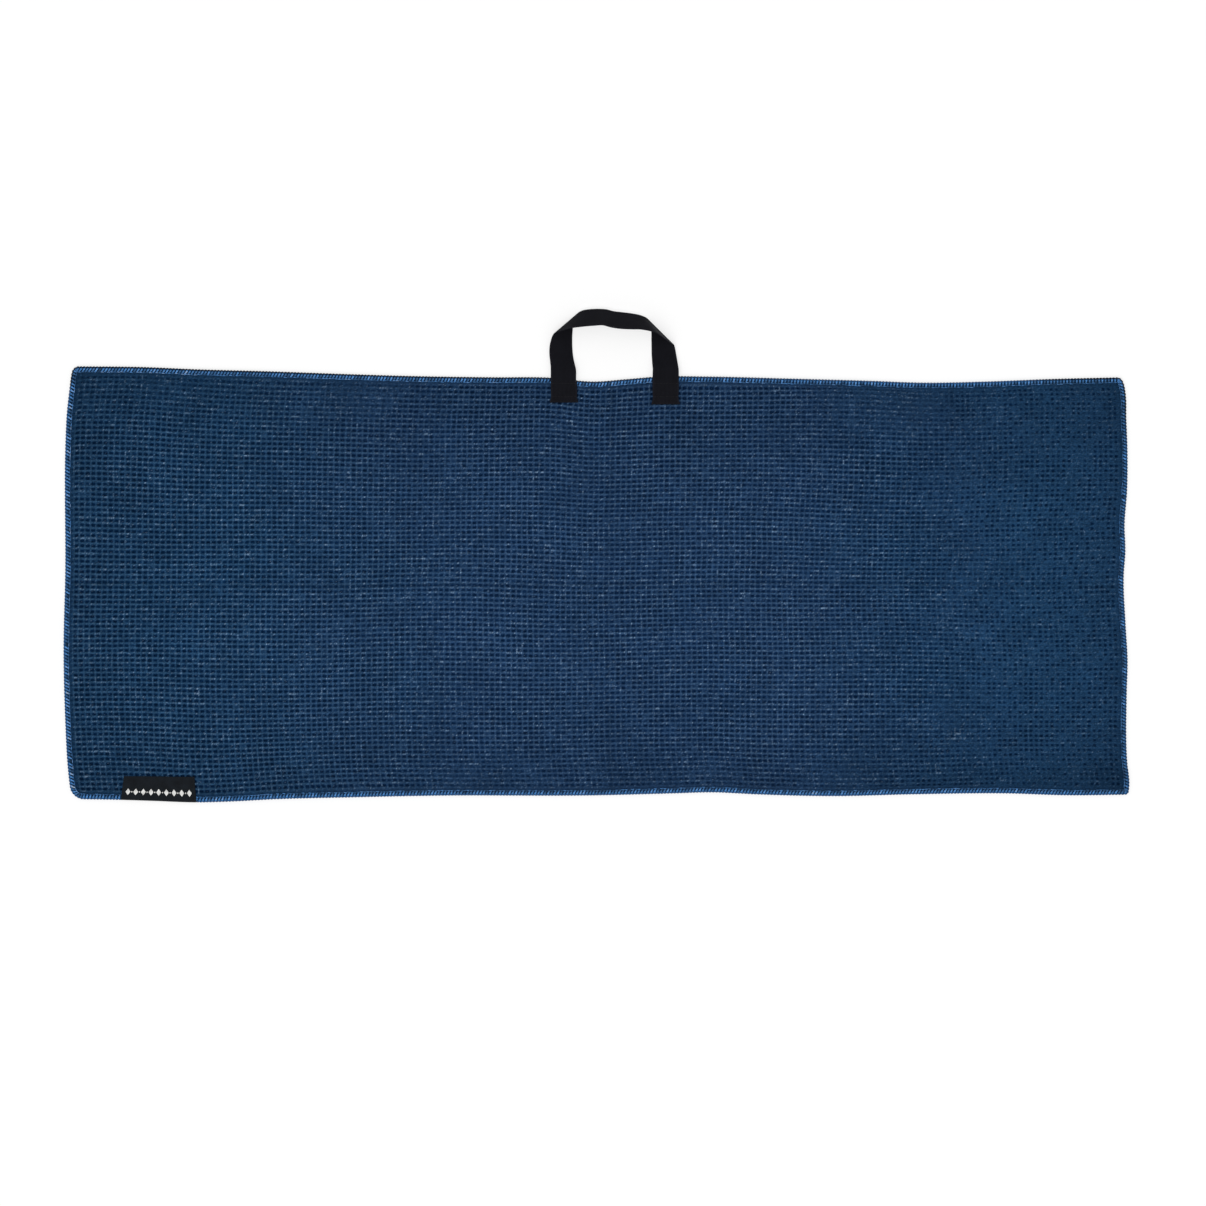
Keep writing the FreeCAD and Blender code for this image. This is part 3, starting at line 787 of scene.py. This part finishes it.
def painted_thread_shade(points, inset):
    """How light the thread looks, in painted shade: palest about 2 mm in, darker towards the needle
    thread and where it turns over the edge. Along the left of the top edge and at the top right
    corner the edge rolls away into a painted dark line, and the right side is darker than the rest."""
    x, y = points[:, 0], points[:, 1]
    top = smooth(TOP - 14, TOP - 7, y)
    right = smooth(SIDE - 18, SIDE - 7, x) * (1 - top)
    left = smooth(SIDE - 18, SIDE - 7, -x) * (1 - top)
    left_top = top * (1 - smooth(-150, 420, x))
    inner_share = 0.43 + 0.24 * left + 0.18 * left_top
    tone_and_painted_light = 1 - (1 - inner_share) * smooth(1.9, 3.9, inset)
    turning = 1 - smooth(0.7, 1.9, inset)
    far_corner = smooth(SIDE - 110, SIDE - 60, x) * smooth(TOP - 75, TOP - 25, y)
    rolled = (1 - smooth(0.8, 2.0, inset)) * np.maximum(left_top, far_corner)
    return tone_and_painted_light * (1 - 0.28 * right) * (1 - 0.60 * turning) * (1 - 0.88 * rolled)


def edging():
    """The three threads of the overlocked edge, each a piece of its own."""
    material = edging_material()
    threads = {
        "edging_front_thread": looper("front"), "edging_back_thread": looper("back"),
        "edging_needle_thread": needle_line(),
    }
    made = []
    for name, ((points, faces, uv), rim, tone_and_painted_light) in threads.items():
        values = {"rim": rim, "tone_and_painted_light": tone_and_painted_light}
        made.append(make_piece(name, points, faces, material, uv, values))
    return made


# ---------------- webbing

TAPE_WIDTH = 25.4
TAPE_HALF = 0.45
TAPE_STEP = 0.4
TAPE_COLUMNS = 80
RIB = 1.27
RIB_HEIGHT = 0.09
PICK = 1.6
SELVEDGE_CURVE = 0.7


def roll(first, second, centre, start, count, radius):
    """Rows of a level tape turning over a crosswise axis, for the turned-under tip."""
    rows = []
    for angle in np.linspace(start, start - math.pi, count):
        y = centre[0] + radius * math.cos(angle)
        z = centre[1] + radius * math.sin(angle)
        rows.append(((first, y, z), (second, y, z)))
    return rows


def sewn_rows(outer, inner, edge_inner, longer):
    """A leg's rows from its hidden tip, round the turned-under end and up to the towel's edge."""
    bend = LEFT_END_LOW[1] - longer + TAPE_HALF + 0.02
    under, over = THICK + TAPE_HALF + 0.03, THICK + 3 * TAPE_HALF + 0.03
    flare = math.copysign(0.9, outer - inner)
    rows = [((outer, y, under), (inner, y, under)) for y in (TOP - 5.6, TOP - 14, bend + 3)]
    rows.append(((outer + flare, bend, under), (inner - flare, bend, under)))
    middle = (bend, (under + over) / 2)
    rows += roll(outer + flare, inner - flare, middle, -math.pi / 2, 7, TAPE_HALF)[1:]
    rows += [((outer, y, over), (inner, y, over)) for y in (bend + 3, TOP - 14)]
    rows.append(((outer, TOP - 6, over), (edge_inner, TOP - 6, over)))
    rows.append(((outer, TOP + 0.5, over), (edge_inner, TOP + 0.5, over)))
    rows.append(((outer, SWING - 2.4, over), (edge_inner, SWING - 2.4, over)))
    return rows


def left_rows():
    """The left leg and its soft fold, as (outer edge, inner edge) points."""
    return sewn_rows(-44.9, -19.5, -20.4, 2.7) + [
        ((-44.9, 175.9, 3.97), (-20.6, 175.9, 3.97)),
        ((-45.0, 178.6, 3.80), (-21.2, 178.6, 3.60)),
        ((-45.5, 183.5, 3.40), (-22.4, 183.5, 2.10)),
        ((-46.2, 190.5, 3.40), (-23.6, 190.5, 0.75)),
        ((-46.0, 197.5, 4.40), (-24.2, 200.5, 0.50)),
        ((-45.0, 202.6, 5.60), (-24.0, 211.0, 0.50)),
        ((-43.8, 206.0, 7.00), (-22.6, 222.0, 0.60)),
        ((-42.8, 208.0, 8.40), (-19.6, 228.6, 0.90)),
        ((-41.4, 209.6, 10.0), (-17.2, 231.0, 1.70)),
        ((-39.2, 210.4, 11.4), (-14.6, 232.2, 2.70)),
        ((-34.0, 212.0, 13.8), (-11.6, 233.0, 3.30)),
        ((-27.0, 213.9, 16.4), (-8.0, 233.5, 3.50)),
    ]


def crown_rows():
    """The crown, whose outer edge rests low while its inner edge stands up."""
    return [
        ((-16.0, 215.3, 18.4), (-3.0, 233.8, 3.60)),
        ((-4.0, 216.3, 19.3), (3.5, 233.8, 3.70)),
        ((5.0, 216.7, 19.7), (9.0, 233.3, 3.80)),
        ((13.0, 214.7, 19.3), (15.0, 231.7, 3.70)),
        ((22.0, 213.4, 19.2), (22.5, 230.8, 3.50)),
        ((33.0, 212.9, 19.0), (31.0, 229.8, 3.20)),
        ((43.5, 212.6, 18.2), (38.5, 228.5, 3.00)),
    ]


def right_rows():
    """The right leg and its crisp fold, from its tip up, as (outer edge, inner edge) points."""
    return sewn_rows(78.1, 52.7, 52.9, 4.4) + [
        ((78.0, 175.9, 3.97), (53.0, 175.9, 3.97)),
        ((77.6, 178.6, 3.70), (52.8, 178.6, 3.60)),
        ((76.8, 183.5, 2.60), (52.4, 183.5, 2.10)),
        ((75.8, 189.5, 1.60), (52.0, 190.5, 0.75)),
        ((74.9, 194.5, 1.60), (51.8, 203.0, 0.50)),
        ((74.3, 197.2, 2.00), (51.4, 214.5, 0.50)),
        ((73.9, 198.3, 2.60), (49.6, 222.0, 0.60)),
        ((73.3, 199.1, 3.60), (48.2, 224.2, 1.10)),
        ((72.2, 199.6, 4.70), (46.9, 225.3, 1.90)),
        ((70.6, 200.4, 6.00), (45.6, 226.1, 2.50)),
        ((65.0, 204.2, 10.4), (44.0, 226.8, 2.80)),
        ((56.5, 209.6, 15.2), (41.8, 227.6, 2.95)),
    ]


def resample(rows, step):
    """Even rows along the tape: both edges as smooth curves through the given rows."""
    rows = np.array(rows, float)
    chords = np.linalg.norm(np.diff(rows, axis=0), axis=2).mean(axis=1)
    at = np.concatenate([[0], np.cumsum(chords)])
    places = np.linspace(0, at[-1], int(round(at[-1] / step)) + 1)
    edges = np.empty((len(places), 2, 3))
    for edge in (0, 1):
        for axis in (0, 1, 2):
            edges[:, edge, axis] = through(list(zip(at, rows[:, edge, axis])))(places)
    return places, edges


def tape_lengths(edges, square_rows):
    """How far along the tape each edge is at each row. Rows named as square are level across."""
    steps = np.linalg.norm(np.diff(edges, axis=0), axis=2)
    lengths = np.vstack([[0, 0], np.cumsum(steps, axis=0)])
    for start, end in zip(square_rows, square_rows[1:]):
        own = lengths[end] - lengths[start]
        even = own.mean()
        part = (lengths[start:end + 1] - lengths[start]) * (even / own)
        shift = lengths[end:] - lengths[end]
        lengths[start:end + 1] = lengths[start] + part
        lengths[end:] = lengths[start] + even + shift
    return lengths


def ribs(along, across):
    """The tape's relief on its two faces, and how full its section is, at places on it."""
    from_edge = np.minimum(across, TAPE_WIDTH - across)
    in_curve = np.clip(from_edge, 0, SELVEDGE_CURVE)
    full = np.sqrt(np.clip(1 - ((SELVEDGE_CURVE - in_curve) / SELVEDGE_CURVE) ** 2, 0, 1))
    rib = np.floor(across / RIB)
    crest = 0.5 + 0.5 * np.cos(2 * math.pi * (across / RIB - 0.5))
    over = 0.5 + 0.5 * np.cos(2 * math.pi * (along / PICK + 0.5 * (rib % 2)))
    selvedge = (1 - smooth(0.8, 1.6, from_edge)) * (0.5 + 0.5 * over)
    front = np.maximum(crest * (0.35 + 0.65 * over), selvedge)
    back = np.maximum(crest * (1 - 0.65 * over), selvedge)
    return front, back, full


def webbing():
    """The hanging loop: one ribbed tape from one sewn end round to the other."""
    keys = left_rows() + crown_rows() + right_rows()[::-1]
    places, edges = resample(keys, TAPE_STEP)
    columns = TAPE_COLUMNS
    share = (np.arange(columns + 1) / columns)[None, :, None]
    middle = edges[:, :1] * (1 - share) + edges[:, 1:] * share
    count = len(places)
    travelled = run_length(middle[:, columns // 2])
    halfway = int(np.searchsorted(travelled, travelled[-1] / 2))
    lengths = tape_lengths(edges, [0, halfway, count - 1])
    along = lengths[:, :1] * (1 - share[..., 0]) + lengths[:, 1:] * share[..., 0]
    across = np.broadcast_to(share[..., 0] * TAPE_WIDTH, along.shape)
    forward = unit(np.gradient(middle, axis=0))
    sideways = unit(np.gradient(middle, axis=1))
    facing = unit(np.cross(forward, sideways))
    relief, under_relief, full = ribs(along, across)
    half = (TAPE_HALF - RIB_HEIGHT) * full[..., None]
    one = middle + facing * (half + RIB_HEIGHT * (relief * full)[..., None])
    other = middle - facing * (half + RIB_HEIGHT * (under_relief * full)[..., None])
    ring = np.concatenate([one, other[:, ::-1]], axis=1)
    width = ring.shape[1]
    faces = grid_faces(count, width, wrap_columns=True)
    index = np.arange(columns)
    cap = np.stack([index, index + 1, width - 2 - index, width - 1 - index], axis=1)
    caps = np.stack([cap, (count - 1) * width + cap[:, ::-1]], axis=1).reshape(-1, 4)
    uv = np.stack([along, across], axis=-1)
    ring_uv = np.concatenate([uv, uv[:, ::-1]], axis=1).reshape(-1, 2)
    shade = np.concatenate([relief, under_relief[:, ::-1]], axis=1).ravel()
    return make_piece(
        "webbing", ring.reshape(-1, 3), np.vstack([faces, caps]), webbing_material(),
        ring_uv, {"relief": shade},
    )


# ---------------- stitches

STITCH_SAMPLES = 14


def stitch_row(start, end, count, length, base, top, half_width, material, name, place=None):
    """A row of lockstitches: one thread that shows for each stitch and dives between them."""
    start, end = np.array(start, float), np.array(end, float)
    gap = (np.linalg.norm(end - start) - length) / (count - 1)
    share = np.arange(STITCH_SAMPLES + 1) / STITCH_SAMPLES
    offsets = (gap * np.arange(count)[:, None] + length * share).ravel()
    arch = np.minimum(1.0, 2.6 * np.sin(math.pi * share))
    heights = np.tile(base + (top - base) * arch, count)
    flat = start + offsets[:, None] * unit(end - start)
    if place is not None:
        flat = np.stack(place(flat[:, 0], flat[:, 1]), axis=1)
    path = np.column_stack([flat, heights])
    size = np.full(len(path), half_width)
    size[[0, -1]] *= 0.3
    points, faces, uv = thread_shape(path, UPWARD, size, size * 0.8)
    return make_piece(name, points, faces, material, uv)


def loop_stitches():
    """The four rows of stitches that hold the webbing's ends."""
    material = sewing_thread_material(
        "webbing_thread", (0.0040, 0.0040, 0.0050), (0.0150, 0.0150, 0.0185),
        0.12, (0.45, 0.38, 0.55), 500.0, 0.00012,
    )
    made = []
    for side in ("left", "right"):
        for place in ("edge", "end"):
            node = f"loop_{side}_{place}_stitches"
            low, high = corner_pair(node)
            middle = (low[1] + high[1]) / 2
            row = stitch_row(
                (low[0], middle), (high[0], middle), 8, 2.2, 3.9, 4.40, 0.24, material,
                f"loop_{side}_{place}_stitching",
            )
            made.append((row, node))
    return made


def label_stitches():
    """The rows of stitches down the label's two ends."""
    material = sewing_thread_material(
        "label_thread", (0.0060, 0.0065, 0.0080), (0.0200, 0.0210, 0.0240),
        0.10, (0.5, 0.42, 0.6), 600.0, 0.00010,
    )
    made = []
    for side in ("left", "right"):
        node = f"label_{side}_stitches"
        low, high = corner_pair(node)
        middle = (low[0] + high[0]) / 2
        top = min(high[1], BOTTOM + LABEL_SEEN - 1.4)
        row = stitch_row(
            (middle, low[1]), (middle, top), 7, 2.1, 2.5, 3.0, 0.2, material,
            f"label_{side}_stitching", on_label,
        )
        made.append((row, node))
    return made


# ---------------- woven label

LABEL_GRAIN = 0.3
MOTIF_LINE = -228.3
MOTIF_STEP = 7.4
LABEL_SEEN = 22.5
# How far the label's middle layer is from the cloth's surface, and the radius of its turn.
LABEL_GAP = 0.17
LABEL_TURN = 1.2


def motif(x, y):
    """A generic woven border: a row of diamonds with a dot between each pair."""
    middle = (LABEL_LOW[0] + LABEL_HIGH[0]) / 2
    from_end = (LABEL_HIGH[0] - LABEL_LOW[0]) / 2 - np.abs(x - middle)
    phase = (x - middle) / MOTIF_STEP
    to_diamond = np.abs(phase - np.rint(phase)) * MOTIF_STEP
    to_dot = MOTIF_STEP / 2 - to_diamond
    up = np.abs(y - MOTIF_LINE)
    diamond = (to_diamond / 2.3 + up / 3.1) < 1
    dot = (to_dot / 0.75 + up / 0.75) < 1
    return ((from_end > 3.4) & (diamond | dot)).astype(float)


def on_label(x, y):
    """Where the label's places lie: it is sewn on askew, wider at the bottom than at the top."""
    down = (BOTTOM + LABEL_SEEN - y) / LABEL_SEEN
    left_share = (LABEL_HIGH[0] - x) / (LABEL_HIGH[0] - LABEL_LOW[0])
    right_share = 1 - left_share
    x = x + left_share * (2.6 - 6.0 * down) - right_share * (0.8 + 1.2 * down)
    return lie(x, y + 1.6 * right_share * (1 - down))


def label_section():
    """The label's run from its front hem, down, round the towel's edge and up its back: places as
    (y, z, outward y, outward z)."""
    top_z = THICK + LABEL_GAP
    front = np.arange(BOTTOM + LABEL_SEEN, BOTTOM + LABEL_TURN, -LABEL_GRAIN)
    places = [(y, top_z, 0.0, 1.0) for y in front]
    for angle in np.radians(np.arange(82, -91, -8)):
        z = LABEL_TURN * math.sin(angle)
        centre_z = (top_z - LABEL_TURN) if z > 0 else (LABEL_GAP + LABEL_TURN)
        places.append((
            BOTTOM + LABEL_TURN - (LABEL_TURN + LABEL_GAP) * math.cos(angle), centre_z + z,
            -math.cos(angle), math.sin(angle),
        ))
    back = np.arange(BOTTOM + LABEL_TURN + LABEL_GRAIN, BOTTOM + LABEL_SEEN, LABEL_GRAIN)
    places += [(y, LABEL_GAP, 0.0, -1.0) for y in back]
    return np.array(places)


def woven_label():
    """The label: a strip of satin tape folded round the towel's bottom edge."""
    section = label_section()
    across = np.arange(LABEL_LOW[0], LABEL_HIGH[0] + LABEL_GRAIN / 2, LABEL_GRAIN)
    x, y = np.meshgrid(across, section[:, 0])
    down = (BOTTOM + LABEL_SEEN - y) / LABEL_SEEN
    is_front = (section[:, 3] > 0.5)[:, None]
    drawn = is_front * motif(x, y)
    row = np.arange(len(section))[:, None]
    column = np.arange(len(across))[None, :]
    relief = 1 - 0.8 * ((column * 2 + row) % 5 == 0)
    hem = down < 0.064
    puff = 0.05 * waves(x, y, 51, 6, 60, 15) * smooth(0, 3, y - BOTTOM)
    lift = 0.05 * drawn + 0.03 * relief + 0.08 * hem + np.clip(puff, 0, 1)
    flat_x, flat_y = on_label(x, y)
    z, outward_y, outward_z = (section[:, part][:, None] for part in (1, 2, 3))
    sides = []
    for offset in (0.10 + lift, np.full(x.shape, -0.12)):
        sides.append(np.stack([
            flat_x, flat_y + outward_y * offset, z + outward_z * offset,
        ], axis=-1).reshape(-1, 3))
    length = run_length(section[:, :2])
    uv = np.stack([x, length[:, None] + 0 * x], axis=-1).reshape(-1, 2)
    none = np.zeros(x.size)
    return make_piece(
        "folded_label", np.vstack(sides), slab_faces(*x.shape)[:, ::-1], label_material(),
        np.vstack([uv, uv]),
        {
            "motif": np.concatenate([drawn.ravel(), none]),
            "relief": np.concatenate([relief.ravel(), none]),
        },
    )


# ---------------- studio

WORLD_LIGHT = 0.80
SUN_LIGHT = 0.95
SUN_SPREAD = math.radians(50)
SUN_TILT = (math.radians(34), math.radians(-20), 0)
# The camera looks straight down at this point, and sees this much from side to side, in metres.
VIEW_MIDDLE = (0.0053, -0.0485)
VIEW_WIDTH = 1.159


def studio():
    """Even soft light and a camera straight above."""
    scene = bpy.context.scene
    scene.view_settings.view_transform = "Standard"
    world = bpy.data.worlds.new("studio")
    world.use_nodes = True
    background = world.node_tree.nodes["Background"]
    set_sockets(background, {"Color": (1, 1, 1, 1), "Strength": WORLD_LIGHT})
    scene.world = world
    key = bpy.data.lights.new("key_light", "SUN")
    key.energy = SUN_LIGHT
    key.angle = SUN_SPREAD
    add_object("key_light", key).rotation_euler = SUN_TILT
    camera = bpy.data.cameras.new("camera")
    camera.lens = 100
    camera.sensor_width = 36
    camera.clip_end = 100
    scene.camera = add_object("camera", camera)
    scene.camera.location = (*VIEW_MIDDLE, VIEW_WIDTH * camera.lens / camera.sensor_width)


def floor():
    """The pale surface that the towel lies on."""
    mesh = bpy.data.meshes.new("floor")
    half, level = 20.0, -0.0004
    corners = [(x * half, y * half, level) for x, y in ((-1, -1), (1, -1), (1, 1), (-1, 1))]
    mesh.from_pydata(corners, [], [(0, 1, 2, 3)])
    material = bpy.data.materials.new("floor")
    material.use_nodes = True
    set_sockets(material.node_tree.nodes["Principled BSDF"], {
        "Base Color": (0.36, 0.36, 0.36, 1), "Emission Color": (1, 1, 1, 1),
        "Emission Strength": 0.64, "Roughness": 0.9, "Specular IOR Level": 0.0,
    })
    mesh.materials.append(material)
    add_object("floor", mesh)


# ---------------- the towel

studio()
floor()

cloth = waffle_cloth()
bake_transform(cloth)
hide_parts("cloth_upper_half", "cloth_lower_half")

edging_pieces = edging()
for piece in edging_pieces:
    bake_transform(piece)
    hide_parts(f"{piece.name}_upper", f"{piece.name}_lower")

tape = webbing()
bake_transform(tape)
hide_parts("loop_end_left", "loop_end_right", "hanging_loop")

for piece, node in loop_stitches():
    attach(piece, "upper_half")
    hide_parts(node)

label = woven_label()
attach(label, "lower_half")
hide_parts("woven_label")

for piece, node in label_stitches():
    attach(piece, "lower_half")
    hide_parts(node)
